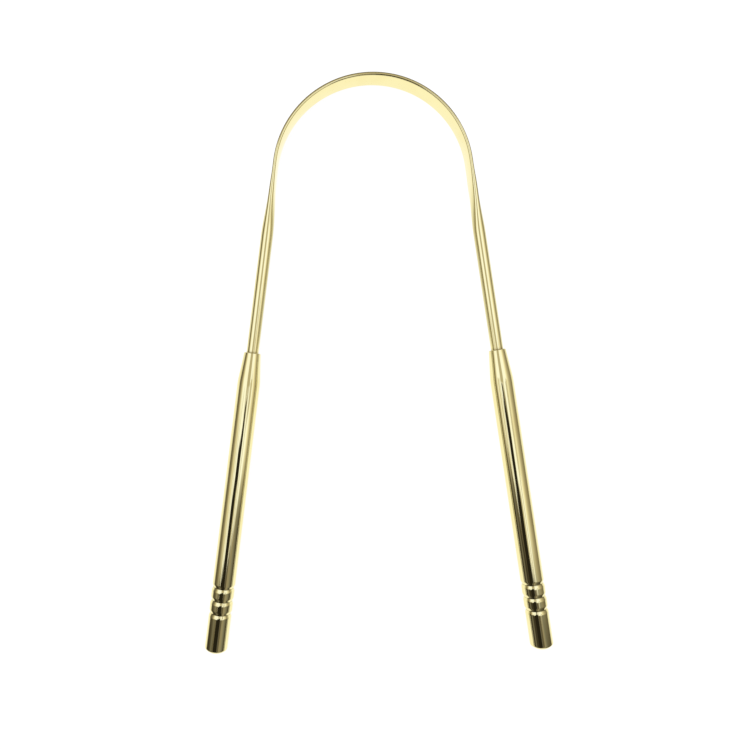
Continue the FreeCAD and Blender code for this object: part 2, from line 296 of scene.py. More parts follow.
def keep(name, tree, values, start_mesh):
    """Run the tree once, and keep its result as a plain closed mesh."""
    piece = bpy.data.objects.new(name, start_mesh)
    bpy.context.scene.collection.objects.link(piece)
    modifier = piece.modifiers.new("shape", "NODES")
    modifier.node_group = tree
    for item in tree.interface.items_tree:
        if item.in_out == "INPUT" and item.name in values:
            modifier[item.identifier] = values[item.name]
    graph = bpy.context.evaluated_depsgraph_get()
    made = piece.evaluated_get(graph)
    mesh = bpy.data.meshes.new_from_object(made, preserve_all_data_layers=True, depsgraph=graph)
    piece.modifiers.remove(modifier)
    piece.data = mesh
    close_up(mesh)
    mesh.shade_smooth()
    mesh.set_sharp_from_angle(angle=SHARP_ANGLE)
    return piece


# %% [markdown]
# ## The wire
#
# The wire is the main piece. It is round in the legs, and the arch is pressed to a thin band with round
# edges that stands upright. Between the two, a stretch of each leg passes smoothly from one to the other:
# the thickness starts to swell a little before the width starts to shrink. The tails run on inside the
# handles.
#
# It could be a bevelled curve, but a bevel keeps one section all the way. Here a flat sheet of points is
# rolled up instead: its length becomes the way along the wire, and its width goes once round the section.
# The section is an oval of four arcs, two for the faces and two for the edges. When its half sizes are
# equal it is a circle, so one rule serves the blade, the leg and all that lies between.

# %% Sizes of the wire
from mathutils import Vector

ARCS = 4
WIRE_DIAMETER = 3.2 * MM
BLADE_THICKNESS = 1.1 * MM
ARCH_RADIUS = 25.9 * MM
FLAT_RUN = 4.6 * MM
FLARE_RUN = 15.2 * MM
EARLY_SWELL = 3.0 * MM
ROUND_RUN = 30.9 * MM
TAIL_LENGTH = 11.0 * MM
TAIL_CHAMFER = 0.4 * MM
BLADE_FACE_ANGLE = math.radians(4)
ROUND_FACE_ANGLE = math.radians(45)
WIRE_COLUMNS = 601
ARC_STEPS = 20
# How far painted shade reaches along the wire from the mouth of each handle.
WIRE_SHADE_REACH = 0.5 * MM

mounts = {mount["name"]: mount for mount in frame["record"]["mounts"]}
leg_way = Vector(mounts["right_handle"]["axis"])
splay = math.atan2(leg_way.x, -leg_way.y)
wire_low, wire_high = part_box("scraper_wire")
blade_width = wire_high.z - wire_low.z
middle_z = (wire_high.z + wire_low.z) / 2
arch_y = wire_high.y - ARCH_RADIUS - BLADE_THICKNESS / 2
leg_run = FLAT_RUN + FLARE_RUN + ROUND_RUN
print("legs splay by", round(math.degrees(splay), 2), "degrees")
print("blade", round(blade_width / MM, 2), "mm wide")

# %% Tree: a sheet rolled into a wire
wire_sizes = {
    "Wire diameter": "size",
    "Blade thickness": "size",
    "Blade width": "size",
    "Blade face angle": "size",
    "Round face angle": "size",
    "Arch radius": "size",
    "Splay": "size",
    "Flat run": "size",
    "Flare run": "size",
    "Early swell": "size",
    "Round run": "size",
    "Tail length": "size",
    "Tail chamfer": "size",
    "Mouth shade reach": "size",
    "Arch centre": "place",
    "Columns": "count",
    "Arc steps": "count",
    "Finish": "finish",
}
wire_tree, given = start_tree("pressed_wire", wire_sizes)
origin = given["Arch centre"].node("ShaderNodeSeparateXYZ", None, {"Vector": given["Arch centre"]})
columns = given["Columns"]
sheet_size = {"Size X": columns - 1, "Size Y": ARCS}
sheet_size.update({"Vertices X": columns, "Vertices Y": given["Arc steps"] * ARCS + 1})
sheet = columns.node("GeometryNodeMeshGrid", None, sheet_size)
on_sheet = sheet.node("ShaderNodeSeparateXYZ", None, {"Vector": sheet.node("GeometryNodeInputPosition")})

# %% Tree: where each column lies along the wire
middle = (columns - 1) / 2
from_middle = on_sheet.math("ABSOLUTE", on_sheet)
# At either end, the last two columns lie in the end face: its rim, then its centre.
end_ring = on_sheet.math("GREATER_THAN", from_middle, middle - 1.5)
end_centre = on_sheet.math("GREATER_THAN", from_middle, middle - 0.5)
bend_angle = math.pi / 2 - given["Splay"]
bend_length = given["Arch radius"] * bend_angle
mouth_run = given["Flat run"] + given["Flare run"] + given["Round run"]
clear_length = bend_length + mouth_run + given["Tail length"] - given["Tail chamfer"]
body_share = on_sheet.math("MINIMUM", from_middle / (middle - 2), 1.0)
distance = body_share * clear_length + end_ring * given["Tail chamfer"]
side = on_sheet.math("SIGN", on_sheet)
turn = on_sheet.math("MINIMUM", distance / given["Arch radius"], bend_angle)
run = on_sheet.math("MAXIMUM", distance - bend_length, 0.0)
tail_scale = 1 - end_ring * given["Tail chamfer"] / (given["Wire diameter"] / 2)
section_scale = tail_scale * (1 - end_centre)

# %% Tree: the four-arc oval at that column
flare_end = given["Flat run"] + given["Flare run"]
pressed = eased(run, given["Flat run"], flare_end)
swollen = eased(run, given["Flat run"] - given["Early swell"], flare_end)
half_thick = toward(given["Blade thickness"], given["Wire diameter"], swollen) / 2
half_wide = toward(given["Blade width"], given["Wire diameter"], pressed) / 2
face_angle = toward(given["Blade face angle"], given["Round face angle"], pressed)
face_sine = run.math("SINE", face_angle)
face_cosine = run.math("COSINE", face_angle)
spread = (half_wide - half_thick) / (face_sine + face_cosine - 1)
edge_radius = half_wide - spread * face_sine
face_radius = half_thick + spread * face_cosine
round_place = on_sheet.also("Y") + ARCS / 2
arc_number = run.math("MINIMUM", run.math("FLOOR", round_place), ARCS - 1)
far_side = run.math("FLOOR", arc_number / 2)
on_edge = arc_number - far_side * 2
arc_share = round_place - arc_number
on_face_turn = face_angle * (arc_share * 2 - 1)
on_edge_turn = face_angle + (math.pi - face_angle * 2) * arc_share
section_turn = toward(on_face_turn, on_edge_turn, on_edge)
section_radius = toward(face_radius, edge_radius, on_edge)
facing = 1 - far_side * 2
arc_centre = (1 - on_edge) * spread * face_cosine
outward = facing * (section_radius * run.math("COSINE", section_turn) - arc_centre)
upward = facing * (section_radius * run.math("SINE", section_turn) + on_edge * spread * face_sine)

# %% Tree: roll the sheet up, and keep the maps that the finish reads
reach = given["Arch radius"] + outward * section_scale
rolled_x = side * (reach * run.math("SINE", turn) + run * run.math("SINE", given["Splay"]))
rolled_y = origin.also("Y") + reach * run.math("COSINE", turn) - run * run.math("COSINE", given["Splay"])
rolled_z = origin.also("Z") + upward * section_scale
rolled = run.node("ShaderNodeCombineXYZ", None, {"X": rolled_x, "Y": rolled_y, "Z": rolled_z})
arc_length = given["Wire diameter"] * (math.pi / ARCS)
wire_map = run.node("ShaderNodeCombineXYZ", None, {"X": side * distance, "Y": round_place * arc_length})
# Painted shade: a dark ring on the wire where it goes into the mouth of the handle.
wire_mouth_shade = 1 - eased(run.math("ABSOLUTE", run - mouth_run), 0.0, given["Mouth shade reach"])
mapped = store(sheet, "along_round", "FLOAT2", "CORNER", wire_map)
shaded_wire = store(mapped, "shade_and_dullness", "FLOAT", "POINT", wire_mouth_shade)
wire_shape = run.node("GeometryNodeSetPosition", None, {"Geometry": shaded_wire, "Position": rolled})
end_tree(wire_shape, given["Finish"])
print("pressed_wire tree has", len(wire_tree.nodes), "nodes")

# %% Make the wire
wire_values = {
    "Wire diameter": WIRE_DIAMETER,
    "Blade thickness": BLADE_THICKNESS,
    "Blade width": blade_width,
    "Blade face angle": BLADE_FACE_ANGLE,
    "Round face angle": ROUND_FACE_ANGLE,
    "Arch radius": ARCH_RADIUS,
    "Splay": splay,
    "Flat run": FLAT_RUN,
    "Flare run": FLARE_RUN,
    "Early swell": EARLY_SWELL,
    "Round run": ROUND_RUN,
    "Tail length": TAIL_LENGTH,
    "Tail chamfer": TAIL_CHAMFER,
    "Mouth shade reach": WIRE_SHADE_REACH,
    "Arch centre": (0.0, arch_y, middle_z),
    "Columns": WIRE_COLUMNS,
    "Arc steps": ARC_STEPS,
    "Finish": drawn_brass,
}
pressed_wire = keep("pressed_wire", wire_tree, wire_values, bpy.data.meshes.new("wire_seed"))
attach(pressed_wire, "root")
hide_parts("scraper_wire")

# %% [markdown]
# ## Turning on a lathe
#
# Handles and plugs are round about their own axis, as a lathe leaves them, so each is drawn as half an
# outline and turned. The Screw modifier would do it. A tree is used instead, because it can also set the
# piece on its leg and carry the outline's third number into the mesh: how much painted shade and dullness
# each point gets.

# %% Tree: an outline turned about a leg
turned_sizes = {"Steps round": "count", "Stand at": "place", "Down the leg": "place", "Map radius": "size"}
turned_sizes["Finish"] = "finish"
turned_tree, given = start_tree("turned_piece", turned_sizes)
outline = given["Geometry"]
rows = outline.node(
    "GeometryNodeAttributeDomainSize", {"component": "MESH"}, {"Geometry": outline}, out="Point Count"
)
sheet_size = {"Size X": rows - 1, "Size Y": 1.0, "Vertices X": rows, "Vertices Y": given["Steps round"] + 1}
sheet = rows.node("GeometryNodeMeshGrid", None, sheet_size)
on_sheet = sheet.node("ShaderNodeSeparateXYZ", None, {"Vector": sheet.node("GeometryNodeInputPosition")})
row = rows.math("ROUND", on_sheet + (rows - 1) / 2)
picked = rows.node(
    "GeometryNodeSampleIndex",
    {"data_type": "FLOAT_VECTOR", "domain": "POINT"},
    {"Geometry": outline, "Value": rows.node("GeometryNodeInputPosition"), "Index": row},
)
point = rows.node("ShaderNodeSeparateXYZ", None, {"Vector": picked})
angle = (on_sheet.also("Y") + 0.5) * (2 * math.pi)
across = point.also("Y") * rows.math("COSINE", angle)
upward = point.also("Y") * rows.math("SINE", angle)
stand = rows.node("ShaderNodeSeparateXYZ", None, {"Vector": given["Stand at"]})
way = rows.node("ShaderNodeSeparateXYZ", None, {"Vector": given["Down the leg"]})
turned_x = stand + way * point - way.also("Y") * across
turned_y = stand.also("Y") + way.also("Y") * point + way * across
turned_z = stand.also("Z") + upward
turned_at = rows.node("ShaderNodeCombineXYZ", None, {"X": turned_x, "Y": turned_y, "Z": turned_z})
turned_map = rows.node("ShaderNodeCombineXYZ", None, {"X": point, "Y": angle * given["Map radius"]})
mapped = store(sheet, "along_round", "FLOAT2", "CORNER", turned_map)
# The third number of the outline marks where the finish paints shade and turns dull.
shade_marked = store(mapped, "shade_and_dullness", "FLOAT", "POINT", point.also("Z"))
turned_shape = rows.node("GeometryNodeSetPosition", None, {"Geometry": shade_marked, "Position": turned_at})
end_tree(turned_shape, given["Finish"])
print("turned_piece tree has", len(turned_tree.nodes), "nodes")

# %% [markdown]
# ## Outlines
#
# An outline is a row of points: how far down the leg, how far from the axis, and how much painted shade
# and dullness the finish gives. Only lines and arcs are needed. Light shows a flat stretch as bent if the
# next corner tilts its end, so each straight stretch gets a guard point close to either end. The mop wears
# every lip soft, so the grooves have a round where they meet the bar, and a much smaller one at their
# floor.

# %% Lines, arcs and grooves of an outline
HANDLE_RADIUS = mounts["right_handle"]["dims"]["r_mm"] * MM
GUARD = 0.05 * MM
GROOVE_WIDTH = 1.65 * MM
GROOVE_FLOOR = 0.2 * MM
GROOVE_DEPTH = 0.27 * MM
LIP_ROUND = 1.2 * MM
TOE_ROUND = 0.1 * MM
BEND_STEPS = 12
OPEN = (0.0, 0.0)
HIDDEN = (1.0, 1.0)
# Painted shade and dullness, growing across the floor of each groove.
GROOVE_FLOOR_SHADE = (0.0, 0.6)


def straight(first, last, shade_and_dullness=OPEN):
    """A line, with a guard point close to either end."""
    start = Vector(first)
    length = (Vector(last) - start).length
    guard = min(GUARD / length, 1 / 3)
    points = []
    for share in (0.0, guard, 1.0 - guard, 1.0):
        spot = start.lerp(Vector(last), share)
        points.append((spot.x, spot.y, toward(*shade_and_dullness, share)))
    return points


def bend(centre, radius, first, last, shade_and_dullness=OPEN):
    """An arc between two angles in degrees: 0 points down the leg and 90 away from the axis."""
    points = []
    for step in range(BEND_STEPS + 1):
        share = step / BEND_STEPS
        angle = math.radians(toward(first, last, share))
        spot = Vector(centre) + radius * Vector((math.cos(angle), math.sin(angle)))
        points.append((spot.x, spot.y, toward(*shade_and_dullness, share)))
    return points


def groove_start(at):
    """First half of a groove: the round lip, the sloping flank and half of the narrow floor."""
    slope = math.atan2(GROOVE_DEPTH, (GROOVE_WIDTH - GROOVE_FLOOR) / 2)
    lip_reach = LIP_ROUND * math.tan(slope / 2)
    toe_reach = TOE_ROUND * math.tan(slope / 2)
    lip = (at - GROOVE_WIDTH / 2 - lip_reach, HANDLE_RADIUS - LIP_ROUND)
    toe = (at - GROOVE_FLOOR / 2 + toe_reach, HANDLE_RADIUS - GROOVE_DEPTH + TOE_ROUND)
    turn = math.degrees(slope)
    lip_points = bend(lip, LIP_ROUND, 90, 90 - turn)
    toe_points = bend(toe, TOE_ROUND, 270 - turn, 270, GROOVE_FLOOR_SHADE)
    flank = straight(lip_points[-1][:2], toe_points[0][:2])
    return lip_points + flank + toe_points + [(at, HANDLE_RADIUS - GROOVE_DEPTH, GROOVE_FLOOR_SHADE[1])]


def groove_end(at):
    """Second half of a groove, the mirror image of the first."""
    return [(2 * at - along, radius, shade_and_dullness) for along, radius, shade_and_dullness in reversed(groove_start(at))]


def outline_mesh(name, points):
    """The outline as a chain of points, without doubles."""
    chain = [points[0]]
    for spot in points[1:]:
        if math.dist(spot[:2], chain[-1][:2]) > SEAM:
            chain.append(spot)
    mesh = bpy.data.meshes.new(name)
    mesh.from_pydata(chain, [(step, step + 1) for step in range(len(chain) - 1)], [])
    return mesh


print("a groove lip starts", round(groove_start(0.0)[0][0] / MM, 3), "mm from the middle of its groove")

# %% [markdown]
# ## The handles
#
# Each handle is a bar 6 mm thick. Its nose is a long cone with a soft shoulder, and a small round breaks
# the edge of the mouth that grips the wire. Behind the nose it is bored hollow, down to the cone that a
# drill leaves. Its far end holds half of the first groove, which hides the seam with the plug.

# %% Outline of a handle
WIRE_CLEARANCE = 0.02 * MM
NOSE_WALL = 0.58 * MM
NOSE_LENGTH = 7.9 * MM
SHOULDER_ROUND = 21.7 * MM
NOSE_BORE_LENGTH = 8.0 * MM
DRILL_HALF_ANGLE = math.radians(59)
MOUTH_ROUND = 0.3 * MM
HANDLE_WALL = 0.8 * MM
TUBE_LENGTH = 62.6 * MM
# Painted shade and dullness on the face of the mouth, round the wire.
MOUTH_FACE_SHADE = (0.8, 0.8)

nose_bore = WIRE_DIAMETER / 2 + WIRE_CLEARANCE
mouth_radius = nose_bore + NOSE_WALL
tube_bore = HANDLE_RADIUS - HANDLE_WALL
nose_angle = math.atan2(HANDLE_RADIUS - mouth_radius, NOSE_LENGTH)
cone_turn = 90 + math.degrees(nose_angle)
nose_end = NOSE_LENGTH + SHOULDER_ROUND * math.tan(nose_angle / 2)
shoulder_centre = (nose_end, HANDLE_RADIUS - SHOULDER_ROUND)
mouth_rise = MOUTH_ROUND * (math.tan(nose_angle) - 1 / math.cos(nose_angle))
mouth_centre = (MOUTH_ROUND, mouth_radius + mouth_rise)
bore_end = NOSE_BORE_LENGTH + (tube_bore - nose_bore) / math.tan(DRILL_HALF_ANGLE)
seam_lip = groove_start(TUBE_LENGTH)

mouth_edge = bend(mouth_centre, MOUTH_ROUND, 180, cone_turn, (MOUTH_FACE_SHADE[1], 0.0))
shoulder = bend(shoulder_centre, SHOULDER_ROUND, cone_turn, 90)
handle_points = straight((0.0, nose_bore), (0.0, mouth_centre[1]), MOUTH_FACE_SHADE)
handle_points += mouth_edge
handle_points += straight(mouth_edge[-1][:2], shoulder[0][:2])
handle_points += shoulder
handle_points += straight((nose_end, HANDLE_RADIUS), seam_lip[0][:2])
handle_points += seam_lip
handle_points += straight(seam_lip[-1][:2], (TUBE_LENGTH, tube_bore), HIDDEN)
handle_points += straight((TUBE_LENGTH, tube_bore), (bore_end, tube_bore), HIDDEN)
handle_points += straight((bore_end, tube_bore), (NOSE_BORE_LENGTH, nose_bore), HIDDEN)
handle_points += straight((NOSE_BORE_LENGTH, nose_bore), (0.0, nose_bore), HIDDEN)
print("nose ends", round(nose_end / MM, 2), "mm down; outline of", len(handle_points), "points")

# %% [markdown]
# ## The end plugs
#
# A plug is turned from solid bar. Its spigot goes up into the handle, three grooves leave two rings
# between them, and a dome with a rounded rim ends it. The three grooves are alike, so a loop cuts them.

# %% Outline of an end plug
PLUG_LENGTH = 17.75 * MM
SPIGOT_LENGTH = 8.0 * MM
SPIGOT_CLEARANCE = 0.02 * MM
SPIGOT_CHAMFER = 0.4 * MM
GROOVE_PITCH = 3.43 * MM
GROOVE_COUNT = 3
DOME_HEIGHT = 1.4 * MM
RIM_ROUND = 0.7 * MM

spigot_radius = tube_bore - SPIGOT_CLEARANCE
dome_radius = (HANDLE_RADIUS**2 + DOME_HEIGHT**2) / (2 * DOME_HEIGHT)
dome_centre = (PLUG_LENGTH - dome_radius, 0.0)
rim_reach = math.sqrt((dome_radius - RIM_ROUND) ** 2 - (HANDLE_RADIUS - RIM_ROUND) ** 2)
rim_centre = (dome_centre[0] + rim_reach, HANDLE_RADIUS - RIM_ROUND)
rim_angle = math.degrees(math.atan2(rim_centre[1], rim_reach))

plug_points = straight((-SPIGOT_LENGTH, 0.0), (-SPIGOT_LENGTH, spigot_radius - SPIGOT_CHAMFER), HIDDEN)
plug_points += [(SPIGOT_CHAMFER - SPIGOT_LENGTH, spigot_radius, 1.0)]
plug_points += straight((SPIGOT_CHAMFER - SPIGOT_LENGTH, spigot_radius), (0.0, spigot_radius), HIDDEN)
plug_points += straight((0.0, spigot_radius), (0.0, HANDLE_RADIUS - GROOVE_DEPTH), HIDDEN)
plug_points += groove_end(0.0)
for number in range(1, GROOVE_COUNT):
    following = groove_start(number * GROOVE_PITCH)
    plug_points += straight(plug_points[-1][:2], following[0][:2])
    plug_points += following + groove_end(number * GROOVE_PITCH)
plug_points += straight(plug_points[-1][:2], (rim_centre[0], HANDLE_RADIUS))
plug_points += bend(rim_centre, RIM_ROUND, 90, rim_angle)
plug_points += bend(dome_centre, dome_radius, rim_angle, 0)
print("dome arc", round(dome_radius / MM, 2), "mm; outline of", len(plug_points), "points")

# %% [markdown]
# ## Both legs
#
# The two legs carry the same handle and the same plug. A Mirror modifier could copy one side to the other,
# but each leg has a mount of its own in the record, so both sides are turned on the axis that the mount
# gives. A leg starts at its foot, where the arch ends. The mouth of the handle and the seam to the plug
# follow further down.

# %% Turn both pieces for both legs
STEPS_ROUND = 144

foot_out = ARCH_RADIUS * math.cos(splay)
foot_y = arch_y + ARCH_RADIUS * math.sin(splay)
for side_name in ("left", "right"):
    mount = mounts[f"{side_name}_handle"]
    leg = Vector(mount["axis"]).normalized()
    foot = Vector((math.copysign(foot_out, leg.x), foot_y, middle_z))
    mouth = foot + leg * leg_run
    seam = mouth + leg * TUBE_LENGTH
    values = {"Steps round": STEPS_ROUND, "Down the leg": leg, "Map radius": HANDLE_RADIUS}
    handle_values = {**values, "Stand at": mouth, "Finish": turned_brass}
    handle_mesh = outline_mesh(f"{side_name}_handle_outline", handle_points)
    handle = keep(f"{side_name}_turned_handle", turned_tree, handle_values, handle_mesh)
    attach(handle, "root")
    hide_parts(f"{side_name}_handle_tube")
    plug_values = {**values, "Stand at": seam, "Finish": plug_brass}
    plug_mesh = outline_mesh(f"{side_name}_plug_outline", plug_points)
    plug = keep(f"{side_name}_grooved_plug", turned_tree, plug_values, plug_mesh)
    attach(plug, "root")
    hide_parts(f"{side_name}_end_plug")

# %% [markdown]
# ## The floor
#
# The scraper lies on a plain white table. A white floor that is only lit would need more light than the
# brass should get. So most of what the camera sees of the floor is an even white of its own, and the rest
# is the lit surface, which keeps the soft shadow.
#
# In the flanks of a rod the table is mirrored at a low angle. Close by it is white and farther off it
# turns dim, which puts a dark line beside the bright edge. That dimming could be a painted picture, but it
# has to follow the wire. So the floor works out how far each spot lies from the middle line of the wire,
# and darkens with that distance, in mirrors alone.

# %% How far each spot of the floor lies from the wire
def place_in_object(start):
    """Where a point lies: its X, with Y and Z as the other outputs."""
    place = start.node("ShaderNodeTexCoord", out="Object")
    return start.node("ShaderNodeSeparateXYZ", None, {"Vector": place})


floor_paper, start = start_material("floor_paper")
spot = place_in_object(start)
spot_y = spot.also("Y")
out_from_foot = (start.math("ABSOLUTE", spot) - foot_out) * math.cos(splay)
out_from_leg = out_from_foot + (spot_y - foot_y) * math.sin(splay)
up_from_arch = spot_y - arch_y
out_from_arch = start.math("SQRT", spot * spot + up_from_arch * up_from_arch) - ARCH_RADIUS
out_from_wire = toward(out_from_leg, out_from_arch, start.math("GREATER_THAN", spot_y, foot_y))
from_wire = start.math("ABSOLUTE", out_from_wire)
outside = start.math("GREATER_THAN", out_from_wire, 0.0)
print("the arch meets its legs at", round(foot_out / MM, 2), round(foot_y / MM, 2), "mm")

# %% How far from the wire, and how deeply, the mirrored floor dims
# Up to the first reach the floor is white, and past the second it is dimmest. A reach below zero means
# that the dimming is already under way beside the wire.
BRIGHT_REACH = {"handles": 13 * MM, "legs": -4 * MM, "in_arch": 4 * MM, "behind_arch": -12 * MM}
DIM_REACH = {"handles": 28 * MM, "legs": 20 * MM, "in_arch": 20 * MM, "behind_arch": 6 * MM}
# Where along the table each change starts, and where it is done
LEGS_SPAN = (-5 * MM, 10 * MM)
ARCH_SPAN = (foot_y - 18 * MM, foot_y + 4 * MM)
LEFT_SPAN = (-85 * MM, -5 * MM)
INSIDE_DEPTH = 0.8
LEFT_DEPTH = (0.95, 0.3)
RIGHT_DEPTH = 0.35
BEHIND_DEPTH = 0.85

by_legs = eased(spot_y, *LEGS_SPAN)
by_arch = eased(spot_y, *ARCH_SPAN)


def floor_reach(reach):
    """A distance from the wire that passes from handles to legs, and on to either side of the arch."""
    beside_rods = toward(reach["handles"], reach["legs"], by_legs)
    return toward(beside_rods, toward(reach["in_arch"], reach["behind_arch"], outside), by_arch)


left_depth = toward(*LEFT_DEPTH, eased(spot_y, *LEFT_SPAN))
side_depth = toward(left_depth, RIGHT_DEPTH, start.math("GREATER_THAN", spot, 0.0))
depth = toward(INSIDE_DEPTH, toward(side_depth, BEHIND_DEPTH, by_arch), outside)
dimmed = eased(from_wire, floor_reach(BRIGHT_REACH), floor_reach(DIM_REACH)) * depth
print("the floor dims by up to", LEFT_DEPTH[0], "of its white")

# %% White floor with a soft shadow
FLOOR_SIDE = 6.0
FLOOR_DROP = 0.01 * MM
FLOOR_WHITE = (0.9, 0.9, 0.89, 1.0)
EVEN_WHITE = (1.06, 1.06, 1.06, 1.0)
FLOOR_DIM = (0.15, 0.13, 0.10, 1.0)
EVEN_SHARE = 0.9


def finish_with(tree, term, kind):
    """Lead a shader to the output node of its tree."""
    tree.links.new(term.socket, tree.nodes[kind].inputs["Surface"])


def stage_mesh(name, corners, material):
    """One flat face that belongs to the studio and not to the scraper."""
    mesh = bpy.data.meshes.new(name)
    mesh.from_pydata(corners, [], [tuple(range(len(corners)))])
    mesh.materials.append(material)
    thing = bpy.data.objects.new(name, mesh)
    bpy.context.scene.collection.objects.link(thing)
    thing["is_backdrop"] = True
    return thing


path = start.node("ShaderNodeLightPath", out="Is Camera Ray")
mirrored = path.also("Is Glossy Ray")
own_white = mix_colours(dimmed * mirrored, EVEN_WHITE, FLOOR_DIM)
lit = start.node("ShaderNodeBsdfDiffuse", None, {"Color": FLOOR_WHITE})
even = start.node("ShaderNodeEmission", None, {"Color": own_white, "Strength": 1.0})
even_share = path * EVEN_SHARE + mirrored + path.also("Is Transmission Ray")
mixed = start.node("ShaderNodeMixShader", None, {0: even_share, 1: lit, 2: even})
finish_with(floor_paper.node_tree, mixed, "Material Output")

half_floor = FLOOR_SIDE / 2
floor_corners = []
for across, up in ((-1, -1), (1, -1), (1, 1), (-1, 1)):
    floor_corners.append((across * half_floor, up * half_floor, cad_box[0].z - FLOOR_DROP))
stage_mesh("floor", floor_corners, floor_paper)
print("floor", FLOOR_SIDE, "m wide at z", round(floor_corners[0][2] / MM, 3), "mm")

# %% [markdown]
# ## The room that the brass mirrors
#
# A mirror looks like metal only if it has light and dark to reflect. Overhead is an even white. Low dim
# walls stand close round the table, and they draw the dark lines along both flanks of every rod.
#
# A painted world could hold all of it, but it would be equally far from every rod. The walls are near, so
# a wall looks higher from the rod beside it than from the other one. So real walls are stood up on all four
# sides, each darker at its foot than at its top. They show in reflections only.

# %% White overhead
OVERHEAD = 1.14
SOFT_FILL = 0.55
COOL_WHITE = (0.95, 1.0, 1.25, 1.0)

world = bpy.data.worlds.new("studio")
world.use_nodes = True
bpy.context.scene.world = world
start = Term(world.node_tree)
path = start.node("ShaderNodeLightPath", out="Is Camera Ray")
seen = path + path.also("Is Glossy Ray") + path.also("Is Transmission Ray")
level = SOFT_FILL + seen * (OVERHEAD - SOFT_FILL)
sky = start.node("ShaderNodeBackground", None, {"Color": COOL_WHITE, "Strength": level})
finish_with(world.node_tree, sky, "World Output")
print("overhead", OVERHEAD, "in mirrors,", SOFT_FILL, "as fill light")

# %% Shades of the walls
WARM_SHADE = (1.0, 0.86, 0.66)
BLACK = (0.0, 0.0, 0.0, 1.0)
WALL_HEIGHT = 200
NEAR_END = (-105, -55)
NEAR_DARKER = 0.75


def room_shade(level):
    """Colour of a dim place in the room: the darker, the warmer."""
    return (*[level * toward(warm, 1.0, level) for warm in WARM_SHADE], 1.0)


def wall_paint(name, shades, fade):
    """Shades up a wall, each with its height in millimetres; darker at the near end, clear at the top."""
    material, start = start_material(f"{name}_paint")
    spot = place_in_object(start)
    height_up = spot.also("Z") / MM
    ramp = start.node("ShaderNodeValToRGB", None, {"Fac": height_up / WALL_HEIGHT})
    elements = ramp.socket.node.color_ramp.elements
    for height, _ in shades[1:-1]:
        elements.new(height / WALL_HEIGHT)
    for element, (height, level) in zip(elements, shades):
        element.position = height / WALL_HEIGHT
        element.color = room_shade(level)
    near = 1 - eased(spot.also("Y") / MM, *NEAR_END)
    shade = mix_colours(near * NEAR_DARKER, ramp, BLACK)
    glow = start.node("ShaderNodeEmission", None, {"Color": shade, "Strength": OVERHEAD})
    clear = start.node("ShaderNodeBsdfTransparent")
    faded = start.node("ShaderNodeMixShader", None, {0: eased(height_up, *fade), 1: glow, 2: clear})
    finish_with(material.node_tree, faded, "Material Output")
    return material


print("a wall at half white has the shade", [round(part, 3) for part in room_shade(0.5)[:3]])

# %% Stand the walls up round the table
LEFT_X = -125
RIGHT_X = 100
BACK_Y = 150
NEAR_Y = -400
LEFT_SHADES = ((0, 0.07), (20, 0.15), (48, 0.30), (62, 0.55), (95, 0.80), (120, 1.0))
RIGHT_SHADES = ((0, 0.18), (25, 0.30), (54, 0.50), (85, 0.78), (130, 0.95), (150, 1.0))
BACK_SHADES = ((0, 0.10), (40, 0.16), (80, 0.24), (120, 0.36), (160, 0.60), (190, 0.80))
NEAR_SHADES = ((0, 0.30), (60, 0.40), (90, 0.50))
LEFT_FADE = (70, 115)
RIGHT_FADE = (90, 150)
BACK_FADE = (140, 200)
NEAR_FADE = (50, 90)
WALLS = {
    "left_wall": ((LEFT_X, NEAR_Y), (LEFT_X, BACK_Y), LEFT_SHADES, LEFT_FADE),
    "back_wall": ((LEFT_X, BACK_Y), (RIGHT_X, BACK_Y), BACK_SHADES, BACK_FADE),
    "right_wall": ((RIGHT_X, BACK_Y), (RIGHT_X, NEAR_Y), RIGHT_SHADES, RIGHT_FADE),
    "near_wall": ((RIGHT_X, NEAR_Y), (LEFT_X, NEAR_Y), NEAR_SHADES, NEAR_FADE),
}


def mirrored_only(thing):
    """Let a wall or a card show in reflections, and nowhere else."""
    thing.visible_camera = False
    thing.visible_diffuse = False
    thing.visible_transmission = False
    thing.visible_shadow = False
    thing.visible_volume_scatter = False


for name, (first, last, shades, fade) in WALLS.items():
    corners = []
    for end, height in ((first, 0), (last, 0), (last, WALL_HEIGHT), (first, WALL_HEIGHT)):
        corners.append((end[0] * MM, end[1] * MM, height * MM))
    mirrored_only(stage_mesh(name, corners, wall_paint(name, shades, fade)))
    print(name, "runs from", first, "to", last, "mm")

# %% [markdown]
# ## The camera
#
# The scraper was seen from straight above and quite close, so the arch shows the inside of its blade. The
# place of the camera was fitted to the outline. A lens whose axis lies off the middle of the picture is
# written as a small shift.

# %% Camera straight above
PICTURE_SIDE = 750
FOCAL_PIXELS = 589.8
AXIS_PIXEL = (331.2, 380.9)
CAMERA_PLACE = (-11.72 * MM, -4.48 * MM, 160.0 * MM)
CAMERA_ROLL = math.radians(-0.783)
SENSOR_WIDTH = 36.0
NEAREST_SEEN = 10 * MM

lens = bpy.data.cameras.new("overhead_camera")
lens.sensor_width = SENSOR_WIDTH
lens.lens = SENSOR_WIDTH * FOCAL_PIXELS / PICTURE_SIDE
lens.shift_x = 0.5 - AXIS_PIXEL[0] / PICTURE_SIDE
lens.shift_y = AXIS_PIXEL[1] / PICTURE_SIDE - 0.5
lens.clip_start = NEAREST_SEEN
camera = bpy.data.objects.new("overhead_camera", lens)
camera.location = CAMERA_PLACE
camera.rotation_euler = (0.0, 0.0, CAMERA_ROLL)
bpy.context.scene.collection.objects.link(camera)
bpy.context.scene.camera = camera
print("lens", round(lens.lens, 2), "mm, shift", round(lens.shift_x, 4), round(lens.shift_y, 4))

